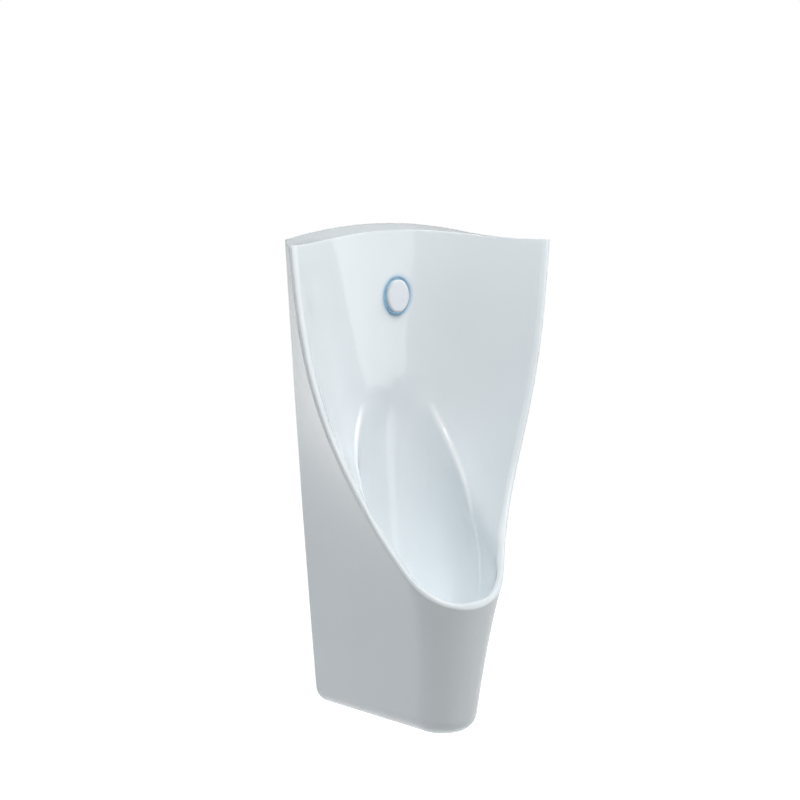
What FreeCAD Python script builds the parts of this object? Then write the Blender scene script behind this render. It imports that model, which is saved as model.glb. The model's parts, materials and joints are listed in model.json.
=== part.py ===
"""Wall-hung urinal with a lit flush button: vitreous china body, flush valve, waste trap and wall hangers.

Millimetres. The wall is the plane y = 0 and the bowl faces -Y, so a depth is measured out from the wall.
Heights are given from the underside of the nose. The origin is the middle of the hanger screw pattern.
"""

import FreeCAD
import Part
import math
import os

# China body, outer form
body_height = 720.5           # crown of the top face at the wall
foot_half_width = 110.5       # half width at the wall, at the foot
top_half_width = 155.5        # half width at the wall, at the corner height
side_bow = 2.3                # how far the rear edge bows out from a straight line
corner_drop = 20.5            # how far the two front corner tips are below the crown
foot_side_run = -0.262        # sideways run of the side wall per unit of depth, at the foot
top_side_run = 0.312          # the same at the top, where the sides flare outwards
flare_rise = 192.215          # how far above the lip the side walls pass from tapering to flaring
flare_spread = 170.0          # height over which that change happens
foot_nose_depth = 284.0       # depth of the rounded nose at the foot
lip_nose_depth = 340.0        # depth of the nose at the lip
lip_height = 201.0            # height of the front lip
underside_fall = 10.5         # how much lower the underside is at the wall than at the nose
foot_fillet = 30.0            # rounding of the bottom edge

# China body, rim and top face
rim_rear_depth = 158.0        # depth that the rim's side profile settles to high up
rim_sweep = 120.0             # height over which the rim sweeps forward to the lip
rim_wall = 11.0               # thickness of the rim at the opening
rim_bevel = 3.4               # bevel of the rim's edges
rim_steps = 10                # steps in which the rim's side profile is drawn
rim_overrun = 30.0            # how far that profile is drawn on below the lip
corner_depth = 156.0          # depth of the front corner tips
arch_half_width = 230.0       # half chord over which the top face's arch is measured
top_back_sagitta = 48.0       # rise of that arch at the wall
top_front_sagitta = 6.8       # rise of that arch at the corner depth
top_fall = 14.5               # how much lower the crown of the top face is at the corner depth
blank_rise = 59.5             # how far the forms reach above the crown before the top face is cut
blank_bottom = -40.0
blank_steps = 12              # steps in which the outer form is drawn from bottom to top
arch_overrun = 20.0           # how far the shape that cuts the top face runs past the body

# China body, walls and openings at the back
china = 12.0                  # wall thickness
panel_depth = 44.0            # depth of the back panel where it is deepest
spoke_depth = 230.0           # depth of the axis that the cavity's plans are drawn round
spoke_count = 16              # points along each half of such a plan
rough_spoke_count = 8         # the same for the hollow behind it
spoke_crowding = 0.45         # spacing of those points straight behind the axis, as a share of even spacing
spoke_halvings = 40           # halvings in which the edge of a plan is found along a spoke
bowl_depth = 71.0             # how far the bowl's floor is below the lip
bowl_run = 519.5              # height above the lip over which the channel and bowl are laid out
bowl_floor_rounding = 12.0
ridge_softness = 12.0         # how far the ridges between the panel and the channel are eased
hollow_bottom = 14.0          # height of the hollow's floor
hollow_drop = 32.5            # how far the hollow's top is below the crown
hollow_steps = 10             # steps in which the hollow's outside is drawn
drain_depth = 168.0           # depth of the drain's axis
service_half_width = 66.0     # upper window in the back, for the flush valve
service_below = 108.0         # how far it reaches below and above the button
service_above = 34.0
trap_half_width = 46.0        # lower window in the back, for the trap
trap_window_bottom = 22.0
trap_window_top = 250.0
underside_port_radius = 50.0  # hole under the trap

# Clearances
fit_gap = 0.3                 # between pieces that are put together
running_gap = 0.05            # radial, between sliding or turning pieces
overcut = 1.0                 # how far a cutting shape runs past the face it cuts

# Flush button
button_drop = 104.5           # how far the button's axis is below the crown
button_travel = 4.0
pocket_width = 42.0           # oval pocket in the china
pocket_height = 56.0
oval_tip = 0.8                # radius of the ovals' ends, as a share of their half width
pocket_depth = 11.0           # how deep the pocket is sunk in the back panel
boss_thickness = 10.0         # china behind the pocket
boss_margin = 9.0
gasket_thickness = 1.0
plate_thickness = 3.0         # front plate of the button housing
board_thickness = 1.6
ring_share = 1.2727           # depth of the light ring's front, as a share of the panel's depth
ring_band = 3.0               # width of the lit band
cap_gap = 0.4                 # between the cap and the light ring
cap_rise = 8.0                # how far the cap stands out of the light ring
cap_skin = 2.4
cap_bevel = 1.8
tail_radius = 11.0            # tail of the housing, through the china
tail_bore = 7.5
tail_back = 15.0
guide_length = 9.0
stem_radius = 4.0
stem_length = 33.0
water_hole_radius = 1.1
water_hole_count = 6
clip_radius = 6.6
clip_thickness = 1.0
button_spring_radius = 6.6
button_spring_wire = 0.6
washer_radius = 17.0
washer_thickness = 2.0
carrier_thickness = 2.0       # steel plate that carries the valve and the control box
nut_thickness = 7.0
nut_across = 32.0
tee_radius = 14.0
tee_back = 3.0
tee_wall = 3.0

# Flush valve
valve_depth = 11.0            # depth of the pipe axes
valve_drop = 71.0             # how far the valve is below the button
valve_radius = 10.0
valve_left = -26.0
valve_right = 10.0
chamber_radius = 7.5
chamber_left = -8.0
seat_radius = 4.0
seat_lip = 1.0
pipe_radius = 6.0             # flush pipe and its sockets
pipe_wall = 1.2
socket_wall = 2.5
socket_depth = 10.0
plunger_radius = 4.5
plunger_length = 26.0
plunger_head_radius = 6.2
plunger_head = 3.0
plunger_travel = 2.5
plunger_spring_closed = 8.0   # room for the spring when the plunger is drawn back
seal_thickness = 3.0
coil_radius = 9.5
coil_length = 30.0
plunger_spring_wire = 0.4
plunger_spring_radius = 3.2
saddle_width = 16.0
saddle_height = 24.0

# Water inlet and stop valve
inlet_x = -48.0
inlet_radius = 10.5           # half-inch pipe thread
inlet_bore = 7.0
inlet_reach = 30.0            # how far the inlet reaches into the wall
collar_radius = 13.0          # shoulder behind the thread
elbow_left = -60.0
elbow_right = -28.0
nipple_end = -16.0
nipple_bore = 4.0
spindle_x = -38.0
spindle_radius = 5.5
spindle_above = 8.0           # how far the spindle reaches above the pipe's axis
spindle_head_radius = 7.5
spindle_head = 4.0
spindle_boss_radius = 9.0
spindle_boss_below = 16.0     # how far its boss reaches below the pipe's axis
spindle_slot = 1.6

# Control box
box_left = 24.0
box_right = 60.0
box_back = 5.0
box_below = 54.0              # how far it reaches below and above the button
box_above = 24.0
carrier_left = -24.0
carrier_below = 15.0          # how far the carrier plate reaches below the valve's axis
carrier_above = 29.0          # and above the button
box_screw_radius = 2.0
box_screw_head = 3.6
box_screw_length = 8.0
box_screw_inset = 10.0
box_rounding = 4.0

# Waste
flange_radius = 34.0
flange_thickness = 5.0
tail_pipe_radius = 24.0
waste_wall = 2.5
dip_bottom = 21.0             # height of the dip pipe's lower end
drain_clearance = 2.0
waste_gasket_thickness = 1.5
strainer_radius = 28.0
strainer_thickness = 2.0
strainer_hole_radius = 2.8
spider_width = 8.0
spider_thickness = 6.0
strainer_screw_radius = 2.5
strainer_screw_head = 5.0
waste_washer_thickness = 3.0
waste_nut_thickness = 10.0
waste_nut_across = 62.0
trap_radius = 38.0
trap_wall = 2.5
trap_gap = 3.0                # between the waste nut and the trap
trap_bottom = 24.0
cup_bottom = 14.0
cup_floor = 3.0
cup_top = 31.0
outlet_radius = 22.0          # outlet pipe inside the body
spigot_radius = 20.0          # its narrower end in the wall
spigot_length = 45.0
outlet_wall = 2.0
outlet_drop = 25.0            # how far its axis is below the trap's top
outlet_inset = 56.0           # how far its inner end is behind the drain's axis
outlet_socket_reach = 70.0    # how far the trap's socket reaches back from the drain's axis
outlet_seal_radius = 33.0
outlet_seal_thickness = 9.0

# Wall hangers
hanger_rise = 14.0            # how far the middle of the screw pattern is above the button
hanger_x = 105.0
hanger_width = 30.0
hanger_gauge = 4.0
hanger_below = 24.0           # how far the bracket reaches below that middle
hanger_above = 30.0           # how far the shelf that the china hangs on is above it
hanger_lip = 14.0
hanger_window_margin = 4.0
hanger_hole_spacing = 30.0
hanger_hole_radius = 3.5
pad_thickness = 2.0
lower_hole_x = 66.0
lower_hole_height = 120.0
lower_hole_radius = 5.0

# Places that follow from the sizes above
flare_height = lip_height + flare_rise
corner_height = body_height - corner_drop
top_front_height = body_height - top_fall
blank_top = body_height + blank_rise
hollow_top = body_height - hollow_drop
bowl_floor = lip_height - bowl_depth
button_height = body_height - button_drop
hanger_height = button_height + hanger_rise
hanger_bottom = hanger_height - hanger_below
hanger_shelf = hanger_height + hanger_above
service_bottom = button_height - service_below
service_top = button_height + service_above
valve_height = button_height - valve_drop
spindle_top = valve_height + spindle_above
spindle_boss_bottom = valve_height - spindle_boss_below
box_bottom = button_height - box_below
box_top = button_height + box_above
carrier_bottom = valve_height - carrier_below
carrier_top = button_height + carrier_above
ring_front = ring_share * panel_depth
pocket_floor = ring_front - pocket_depth
boss_back = pocket_floor - boss_thickness
cap_front = ring_front + cap_rise
gasket_front = pocket_floor + gasket_thickness
plate_front = gasket_front + plate_thickness
board_front = plate_front + board_thickness
cap_back = plate_front + fit_gap + button_travel
cap_inside = cap_front - cap_skin
guide_back = plate_front - guide_length
stem_back = cap_inside - stem_length
washer_back = boss_back - washer_thickness
carrier_back = washer_back - carrier_thickness
nut_back = carrier_back - nut_thickness
tee_front = nut_back - fit_gap
plate_width = pocket_width - 2 * fit_gap
plate_height = pocket_height - 2 * fit_gap
ring_hole_width = plate_width - 2 * ring_band
ring_hole_height = plate_height - 2 * ring_band
cap_width = ring_hole_width - 2 * cap_gap
cap_height = ring_hole_height - 2 * cap_gap
pipe_bottom = valve_height + valve_radius + socket_wall
pipe_top = button_height - tee_radius - socket_wall
flange_bottom = bowl_floor + waste_gasket_thickness
flange_top = flange_bottom + flange_thickness
strainer_bottom = flange_top - strainer_thickness
waste_bore = tail_pipe_radius - waste_wall
floor_under = bowl_floor - china
waste_nut_top = floor_under - waste_washer_thickness
trap_top = waste_nut_top - waste_nut_thickness - trap_gap
outlet_height = trap_top - outlet_drop
outlet_end = drain_depth - outlet_inset
outlet_socket_mouth = drain_depth - outlet_socket_reach
seat_face = chamber_left + seat_lip
plunger_left = seat_face + seal_thickness
core_end = plunger_left + plunger_length + plunger_travel + plunger_spring_closed


def at(x, depth, height):
    """Point at a sideways place, a depth out from the wall and a height above the nose's underside."""
    return FreeCAD.Vector(x, -depth, height - hanger_height)


outward = FreeCAD.Vector(0, -1, 0)
upward = FreeCAD.Vector(0, 0, 1)
rightward = FreeCAD.Vector(1, 0, 0)


def rod(x, height, radius, start, end):
    """Round bar square to the wall, between two depths."""
    return Part.makeCylinder(radius, end - start, at(x, start, height), outward)


def post(x, depth, radius, start, end):
    """Upright round bar, between two heights."""
    return Part.makeCylinder(radius, end - start, at(x, depth, start), upward)


def rod_hole(solid, x, height, radius, start, end):
    """The solid with a round hole square to the wall, open at two depths."""
    return solid.cut(rod(x, height, radius, start - overcut, end + overcut))


def post_hole(solid, x, depth, radius, start, end):
    """The solid with an upright round hole, open at two heights."""
    return solid.cut(post(x, depth, radius, start - overcut, end + overcut))


def bar(depth, height, radius, start, end):
    """Sideways round bar, between two sideways places."""
    return Part.makeCylinder(radius, end - start, at(start, depth, height), rightward)


def block(left, right, back, front, bottom, top):
    """Box between two sideways places, two depths and two heights."""
    return Part.makeBox(right - left, front - back, top - bottom, at(left, front, bottom))


def oval(width, height, start, end):
    """Oval block of four arcs on the button's axis, between two depths."""
    half_across, half_up = width / 2, height / 2
    tip = half_across * oval_tip
    bend = ((half_up - tip) ** 2 + half_across**2 - tip**2) / (2 * (half_across - tip))
    lean = math.atan2(half_up - tip, bend - half_across)
    touch_x = (half_across - bend) + bend * math.cos(lean)
    touch_height = bend * math.sin(lean)
    corners = [(touch_x, touch_height), (-touch_x, touch_height)]
    corners += [(-touch_x, -touch_height), (touch_x, -touch_height)]
    middles = [(0, half_up), (-half_across, 0), (0, -half_up), (half_across, 0)]
    arcs = []
    for step in range(4):
        marks = [corners[step], middles[step], corners[(step + 1) % 4]]
        arcs.append(Part.Arc(*[at(x, start, button_height + rise) for x, rise in marks]).toShape())
    return Part.Face(Part.Wire(arcs)).extrude(outward * (end - start))


def hexagon(centre, axis, across, thickness):
    """Six-sided block, given across its flats, from a centre along an axis."""
    start = FreeCAD.Vector(0, 0, 1) if abs(axis.z) < 0.5 else FreeCAD.Vector(1, 0, 0)
    arm = start * (across / math.sqrt(3))
    turns = [FreeCAD.Rotation(axis, 60 * step).multVec(arm) for step in range(7)]
    return Part.Face(Part.makePolygon([centre + turn for turn in turns])).extrude(axis * thickness)


def closed_coil(start, axis, length, radius, wire):
    """Compression spring between two end faces, as the tube that its coils fill."""
    solid = Part.makeCylinder(radius + wire, length, start, axis)
    return solid.cut(Part.makeCylinder(radius - wire, length, start, axis))


# Formulas of the china's form


def half_width(height):
    """Half width at the wall."""
    t = height / corner_height
    return foot_half_width + (top_half_width - foot_half_width) * t + side_bow * 4 * t * (1 - t)


def side_run(height):
    """Sideways run of the side wall per unit of depth."""
    middle = (top_side_run + foot_side_run) / 2
    swing = (top_side_run - foot_side_run) / 2
    return middle + swing * math.tanh((height - flare_height) / flare_spread)


def nose_depth(height):
    return foot_nose_depth + (lip_nose_depth - foot_nose_depth) * height / lip_height


def rim_depth(height):
    """Depth of the rim's side profile."""
    return rim_rear_depth + (lip_nose_depth - rim_rear_depth) * math.exp((lip_height - height) / rim_sweep)


def nose_circle(height):
    """Angle of the side wall, and the radius and depth of the circle that rounds the nose."""
    angle = math.atan(-side_run(height))
    reach = half_width(height) * math.cos(angle) - nose_depth(height) * math.sin(angle)
    radius = reach / (1 - math.sin(angle))
    return angle, radius, nose_depth(height) - radius


def side_at(height, depth):
    """Sideways place of the outer side wall."""
    return half_width(height) + side_run(height) * depth


def outer_wire(height, inset, back):
    """Plan of the outer form at one height: flat back, straight sides and a round nose."""
    angle, radius, centre = nose_circle(height)
    radius -= inset
    wall_x = side_at(height, back) - inset / math.cos(angle)
    touch_x = radius * math.cos(angle)
    touch_depth = centre + radius * math.sin(angle)
    right = at(wall_x, back, height)
    right_touch = at(touch_x, touch_depth, height)
    left_touch = at(-touch_x, touch_depth, height)
    left = at(-wall_x, back, height)
    nose = Part.Arc(right_touch, at(0, centre + radius, height), left_touch)
    sides = [Part.LineSegment(right, right_touch), nose, Part.LineSegment(left_touch, left)]
    return Part.Wire([piece.toShape() for piece in sides + [Part.LineSegment(left, right)]])


def outer_form(inset, back, bottom, top, steps):
    """Loft of the outer plans between two heights."""
    heights = [bottom + (top - bottom) * step / steps for step in range(steps + 1)]
    return Part.makeLoft([outer_wire(height, inset, back) for height in heights], True, False)


def above_lip(share):
    """Height at a share of the way from the lip up to the crown."""
    return lip_height + share * (body_height - lip_height)


def in_bowl_run(share):
    """Height at a share of the bowl's run above the lip."""
    return lip_height + share * bowl_run


# The open dish of the back panel: height, depth at its middle as a share of the panel's depth, how far its
# arc opens past the rim, the rim's wall as a share of its thickness, and how far its front half is drawn out
dish_stations = [
    (blank_top + arch_overrun, 1.84, 1.66, 1.0, 0.15),
    (above_lip(0.96), 1.511, 1.45, 1.0, 0.2),
    (above_lip(0.768), 1.227, 1.20, 1.0, 0.5),
    (above_lip(0.576), 1.045, 1.08, 1.0, 0.75),
    (above_lip(0.422), 1.0, 1.04, 1.0, 0.8),
    (in_bowl_run(0.287), 1.5, 1.02, 1.0, 0.7),
    (in_bowl_run(0.171), 2.636, 1.02, 1.0, 0.5),
    (in_bowl_run(0.085), 4.318, 1.02, 2.0, 0.35),
]

# The channel and bowl sunk into it: height, back, widest and front depths as shares of the lip's depth, half
# width as a share of the foot's, and fullness of the front
bowl_stations = [
    (in_bowl_run(0.585), 0.176, 0.294, 0.88, 0.145, 2.0),
    (in_bowl_run(0.479), 0.106, 0.309, 0.88, 0.516, 2.0),
    (in_bowl_run(0.364), 0.088, 0.329, 0.88, 0.670, 2.0),
    (in_bowl_run(0.191), 0.100, 0.388, 0.971, 0.735, 2.3),
    (in_bowl_run(0.094), 0.124, 0.441, 1.006, 0.760, 2.4),
    (in_bowl_run(0.008), 0.159, 0.471, 0.968, 0.695, 2.4),
    (lip_height - bowl_depth / 2, 0.206, 0.488, 0.915, 0.561, 2.2),
    (bowl_floor, 0.294, drain_depth / lip_nose_depth, 0.771, 0.434, 2.0),
]


def station_at(stations, height):
    """A station's values at any height, on a smooth curve through the stations, which run downwards."""
    last = len(stations) - 2
    index = max(i for i in range(last + 1) if i == 0 or stations[i][0] >= height)
    upper, lower = stations[index], stations[index + 1]
    before, after = stations[max(index - 1, 0)], stations[min(index + 2, last + 1)]
    span = lower[0] - upper[0]
    t = (height - upper[0]) / span
    values = []
    for a, b, c, d in zip(before[1:], upper[1:], lower[1:], after[1:]):
        start = (c - a) / (lower[0] - before[0]) * span
        end = (d - b) / (after[0] - upper[0]) * span
        values.append(b + t * (start + t * (3 * (c - b) - 2 * start - end + t * (2 * (b - c) + start + end))))
    return values


def dish_oval(height, grow):
    """Plan of the dish, grown by a wall: widest depth, reach behind and ahead of it, half width, fullness."""
    back_share, opening, wall_share, front_share = station_at(dish_stations, height)
    back = back_share * panel_depth
    rim = rim_depth(height)
    half = opening * (side_at(height, rim) - wall_share * rim_wall)
    reach = (rim - back) / (1 - math.sqrt(1 - 1 / opening**2))
    return back + reach, reach + grow, front_share * reach + grow, half + grow, 2


def bowl_oval(height, grow):
    """Plan of the channel and bowl, in the same terms."""
    back, widest, front, half, fullness = station_at(bowl_stations, height)
    reach_back = (widest - back) * lip_nose_depth + grow
    reach_front = (front - widest) * lip_nose_depth + grow
    return widest * lip_nose_depth, reach_back, reach_front, half * foot_half_width + grow, fullness


def spoke(plan, centre, turn):
    """Distance from a centre depth out to a plan, in a direction turned from straight back."""
    widest, behind, ahead, half, fullness = plan
    near, far = 0.0, 4 * lip_nose_depth
    for _ in range(spoke_halvings):
        length = (near + far) / 2
        depth = centre - length * math.cos(turn) - widest
        reach = ahead if depth > 0 else behind
        power = fullness if depth > 0 else 2
        level = abs(length * math.sin(turn) / half) ** power + abs(depth / reach) ** power
        near, far = (length, far) if level < 1 else (near, length)
    return near


def eased_larger(first, second):
    """The larger of two lengths, eased where they are nearly equal."""
    near = max(ridge_softness - abs(first - second), 0)
    return max(first, second) + near**2 / (4 * ridge_softness)


def cavity_wire(height, grow, spokes):
    """Plan of the dish and the bowl together at one height."""
    rise = min((height - bowl_floor) / bowl_depth, 1)
    centre = drain_depth + rise * (spoke_depth - drain_depth)
    plans = []
    if height >= dish_stations[-1][0]:
        plans.append(dish_oval(height, grow))
    if height <= bowl_stations[0][0]:
        plans.append(bowl_oval(height, grow))
    points = []
    turns = []
    for step in range(-spokes, spokes):
        share = step / spokes
        turn = math.pi * share * (spoke_crowding + (1 - spoke_crowding) * share**2)
        turns.append(turn)
        lengths = [spoke(plan, centre, turn) for plan in plans]
        length = eased_larger(*lengths) if len(lengths) == 2 else lengths[0]
        points.append(at(length * math.sin(turn), centre - length * math.cos(turn), height))
    curve = Part.BSplineCurve()
    curve.interpolate(Points=points, Parameters=turns + [turns[0] + 2 * math.pi], PeriodicFlag=True)
    return Part.Wire(curve.toShape())


def cavity_form(grow, spokes):
    """Space of the dish, the channel and the bowl, grown by a wall, with a rounded edge round its floor."""
    shares = (1.05, 0.97, 0.89, 0.81, 0.73, 0.65, 0.57, 0.49, 0.42, 0.35, 0.28, 0.21, 0.15, 0.1, 0.06, 0.02)
    heights = [dish_stations[0][0]] + [above_lip(share) for share in shares]
    heights += [lip_height - bowl_depth * share for share in (0.2, 0.5)]
    wires = [cavity_wire(height, grow, spokes) for height in heights]
    for degrees in (0, 30, 60, 90):
        rise = bowl_floor_rounding * (1 - math.sin(math.radians(degrees)))
        inset = bowl_floor_rounding * (1 - math.cos(math.radians(degrees)))
        wire = cavity_wire(bowl_floor + rise, grow - inset, spokes)
        wire.translate(upward * -grow)
        wires.append(wire)
    return Part.makeLoft(wires, True, False)


def opening_form():
    """Everything in front of the rim's side profile."""
    far = 2 * lip_nose_depth
    wide = 2 * top_half_width
    tall = blank_top + overcut
    run = lip_height - rim_overrun - tall
    heights = [tall + run * step / rim_steps for step in range(rim_steps + 1)]
    points = [at(-wide, rim_depth(height), height) for height in heights]
    profile = Part.BSplineCurve()
    profile.interpolate(points)
    corners = [points[-1], at(-wide, far, heights[-1]), at(-wide, far, tall), points[0]]
    edges = [profile.toShape()]
    edges += [Part.LineSegment(corners[i], corners[i + 1]).toShape() for i in range(3)]
    return Part.Face(Part.Wire(edges)).extrude(rightward * (2 * wide))


def top_form():
    """Everything above the arched top face, which falls towards the front."""
    wires = []
    for depth in (-arch_overrun, corner_depth + arch_overrun):
        share = depth / corner_depth
        crown = body_height + (top_front_height - body_height) * share
        sagitta = top_back_sagitta + (top_front_sagitta - top_back_sagitta) * share
        left = at(-arch_half_width, depth, crown - sagitta)
        right = at(arch_half_width, depth, crown - sagitta)
        high_right = at(arch_half_width, depth, blank_top)
        high_left = at(-arch_half_width, depth, blank_top)
        arch = Part.Arc(left, at(0, depth, crown), right).toShape()
        rest = [Part.LineSegment(right, high_right), Part.LineSegment(high_right, high_left)]
        rest.append(Part.LineSegment(high_left, left))
        wires.append(Part.Wire([arch] + [piece.toShape() for piece in rest]))
    return Part.makeLoft(wires, True, True)


def underside_height(depth):
    return (depth - foot_nose_depth) * underside_fall / foot_nose_depth


def underside_form():
    """Everything below the underside, which falls towards the wall."""
    far = 2 * lip_nose_depth
    wide = 2 * top_half_width
    near = -20.0
    low = -60.0
    profile = [(near, low), (far, low), (far, underside_height(far)), (near, underside_height(near))]
    points = [at(-wide, depth, height) for depth, height in profile]
    return Part.Face(Part.makePolygon(points + points[:1])).extrude(rightward * (2 * wide))


def rim_edges(shape):
    """Edges along the rim: those that lie on the rim's side profile."""
    found = []
    for edge in shape.Edges:
        marks = [edge.valueAt(edge.FirstParameter + share * (edge.LastParameter - edge.FirstParameter))
                 for share in (0.1, 0.5, 0.9)]
        gaps = [abs(-mark.y - rim_depth(mark.z + hanger_height)) for mark in marks]
        if max(gaps) < 0.6 and edge.BoundBox.ZLength > 1:
            found.append(edge)
    return found


def underside_edges(shape):
    """Edges around the underside, apart from the one at the wall."""
    found = []
    for edge in shape.Edges:
        ends = [edge.valueAt(edge.FirstParameter), edge.valueAt(edge.LastParameter)]
        marks = ends + [edge.valueAt((edge.FirstParameter + edge.LastParameter) / 2)]
        level = max(abs(mark.z + hanger_height - underside_height(-mark.y)) for mark in marks)
        if level < 0.05 and max(-mark.y for mark in marks) > 1:
            found.append(edge)
    return found


def china_body():
    """The vitreous china body, hollow behind the bowl and open at the back for the fittings."""
    solid = outer_form(0, 0, blank_bottom, blank_top, blank_steps).cut(opening_form())
    solid = solid.cut(cavity_form(0, spoke_count))
    solid = solid.makeChamfer(rim_bevel, rim_edges(solid))
    solid = solid.cut(top_form()).cut(underside_form())
    solid = solid.makeFillet(foot_fillet, underside_edges(solid))
    hollow = outer_form(china, china, hollow_bottom, hollow_top, hollow_steps)
    hollow = hollow.cut(cavity_form(china, rough_spoke_count))
    boss_width = pocket_width + 2 * boss_margin
    boss_height = pocket_height + 2 * boss_margin
    hollow = hollow.cut(oval(boss_width, boss_height, boss_back, ring_front))
    hollow = max(hollow.Solids, key=lambda piece: piece.Volume)
    solid = Part.makeSolid(Part.Compound([solid.Shells[0], hollow.Shells[0].reversed()]))
    through = china + overcut
    cuts = [
        block(-service_half_width, service_half_width, -overcut, through, service_bottom, service_top),
        block(-trap_half_width, trap_half_width, -overcut, through, trap_window_bottom, trap_window_top),
        oval(pocket_width, pocket_height, pocket_floor, cap_front + pocket_height),
        rod(0, button_height, tail_radius + fit_gap, boss_back - overcut, pocket_floor + overcut),
        post(0, drain_depth, tail_pipe_radius + drain_clearance, floor_under - china, bowl_floor + overcut),
        post(0, drain_depth, underside_port_radius, blank_bottom, hollow_bottom + overcut),
    ]
    half_window = hanger_width / 2 + hanger_window_margin
    for side in (-1, 1):
        middle = side * hanger_x
        top = hanger_shelf + pad_thickness
        bottom = hanger_bottom - hanger_window_margin
        cuts.append(block(middle - half_window, middle + half_window, -overcut, through, bottom, top))
        cuts.append(rod(side * lower_hole_x, lower_hole_height, lower_hole_radius, -overcut, through))
    for cut in cuts:
        solid = solid.cut(cut)
    return solid


def button_housing():
    """Oval plate in the pocket, with a guide for the stem and a tail that carries the water to the front."""
    solid = oval(plate_width, plate_height, gasket_front, plate_front)
    solid = solid.fuse(rod(0, button_height, tail_radius, tail_back, plate_front))
    solid = solid.cut(rod(0, button_height, tail_bore, tail_back - overcut, guide_back))
    solid = rod_hole(solid, 0, button_height, stem_radius + running_gap, guide_back, plate_front)
    ring = (stem_radius + tail_bore) / 2
    for step in range(water_hole_count):
        turn = 2 * math.pi * step / water_hole_count
        x = ring * math.cos(turn)
        height = button_height + ring * math.sin(turn)
        solid = rod_hole(solid, x, height, water_hole_radius, guide_back, plate_front)
    return solid


def housing_gasket():
    """Rubber gasket between the housing's plate and the pocket."""
    solid = oval(plate_width, plate_height, pocket_floor, gasket_front)
    return rod_hole(solid, 0, button_height, tail_radius + fit_gap, pocket_floor, gasket_front)


def light_board():
    """Ring-shaped circuit board with the lamps."""
    solid = oval(plate_width, plate_height, plate_front, board_front)
    return solid.cut(oval(ring_hole_width, ring_hole_height, plate_front - overcut, board_front + overcut))


def light_ring():
    """Clear ring round the cap that glows from the lamps behind it."""
    solid = oval(plate_width, plate_height, board_front, ring_front)
    return solid.cut(oval(ring_hole_width, ring_hole_height, board_front - overcut, ring_front + overcut))


def flush_button():
    """Oval push cap, a shell with a bevelled front edge."""
    solid = oval(cap_width, cap_height, cap_back, cap_front)
    front = [edge for edge in solid.Edges if edge.BoundBox.YMax < -cap_front + 0.01]
    solid = solid.makeChamfer(cap_bevel, front)
    inside = oval(cap_width - 2 * cap_skin, cap_height - 2 * cap_skin, cap_back - overcut, cap_inside)
    return solid.cut(inside)


def button_stem():
    """Rod behind the cap that slides in the housing's guide."""
    return rod(0, button_height, stem_radius, stem_back, cap_inside)


def stem_clip():
    """Retaining ring on the stem behind the guide."""
    front = guide_back - fit_gap
    solid = rod(0, button_height, clip_radius, front - clip_thickness, front)
    return rod_hole(solid, 0, button_height, stem_radius, front - clip_thickness, front)


def button_spring():
    length = cap_inside - plate_front
    start = at(0, plate_front, button_height)
    return closed_coil(start, outward, length, button_spring_radius, button_spring_wire)


def housing_washer():
    solid = rod(0, button_height, washer_radius, washer_back, boss_back)
    return rod_hole(solid, 0, button_height, tail_radius + fit_gap, washer_back, boss_back)


def carrier_plate():
    """Steel plate clamped behind the china, which carries the valve and the control box."""
    solid = block(carrier_left, box_right, carrier_back, washer_back, carrier_bottom, carrier_top)
    solid = rod_hole(solid, 0, button_height, tail_radius + fit_gap, carrier_back, washer_back)
    for height in box_screw_heights():
        hole = box_screw_radius + fit_gap
        solid = rod_hole(solid, box_screw_x(), height, hole, carrier_back, washer_back)
    return solid


def housing_nut():
    solid = hexagon(at(0, nut_back, button_height), outward, nut_across, nut_thickness)
    return rod_hole(solid, 0, button_height, tail_radius + running_gap, nut_back, carrier_back)


def water_tee():
    """Cap over the housing's tail that turns the flush water into it."""
    solid = rod(0, button_height, tee_radius, tee_back, tee_front)
    socket_bottom = pipe_top - socket_depth
    solid = solid.fuse(post(0, valve_depth, pipe_radius + socket_wall, socket_bottom, button_height))
    solid = solid.cut(rod(0, button_height, tail_radius + running_gap, tail_back, tee_front + overcut))
    chamber = tail_radius - tee_wall / 2
    solid = solid.cut(rod(0, button_height, chamber, tee_back + tee_wall, tail_back + overcut))
    bore = post(0, valve_depth, pipe_radius - pipe_wall, pipe_top - overcut, button_height)
    socket = post(0, valve_depth, pipe_radius + running_gap, socket_bottom - overcut, pipe_top)
    return solid.cut(bore).cut(socket)


def flush_pipe():
    """Tube from the valve up to the tee."""
    solid = post(0, valve_depth, pipe_radius, pipe_bottom, pipe_top)
    return post_hole(solid, 0, valve_depth, pipe_radius - pipe_wall, pipe_bottom, pipe_top)


def valve_body():
    """Body of the flush valve: inlet from the left, seat in the middle, outlet upwards."""
    solid = bar(valve_depth, valve_height, valve_radius, valve_left, valve_right)
    outlet = post(0, valve_depth, pipe_radius + socket_wall, valve_height, pipe_bottom + socket_depth)
    solid = solid.fuse(outlet)
    lip = bar(valve_depth, valve_height, seat_radius + seat_lip, chamber_left - overcut, seat_face)
    chamber = bar(valve_depth, valve_height, chamber_radius, chamber_left, valve_right + overcut)
    solid = solid.cut(chamber).fuse(lip)
    solid = solid.cut(bar(valve_depth, valve_height, seat_radius, valve_left, seat_face + overcut))
    inlet = pipe_radius + running_gap
    solid = solid.cut(bar(valve_depth, valve_height, inlet, valve_left - overcut, nipple_end))
    solid = solid.cut(post(0, valve_depth, pipe_radius - pipe_wall, valve_height, pipe_bottom + overcut))
    top = pipe_bottom + socket_depth + overcut
    return solid.cut(post(0, valve_depth, pipe_radius + running_gap, pipe_bottom, top))


def valve_plunger():
    """Sliding core of the valve, with a head that carries the seal."""
    head = bar(valve_depth, valve_height, plunger_head_radius, plunger_left, plunger_left + plunger_head)
    core = bar(valve_depth, valve_height, plunger_radius, plunger_left, plunger_left + plunger_length)
    return head.fuse(core)


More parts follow.
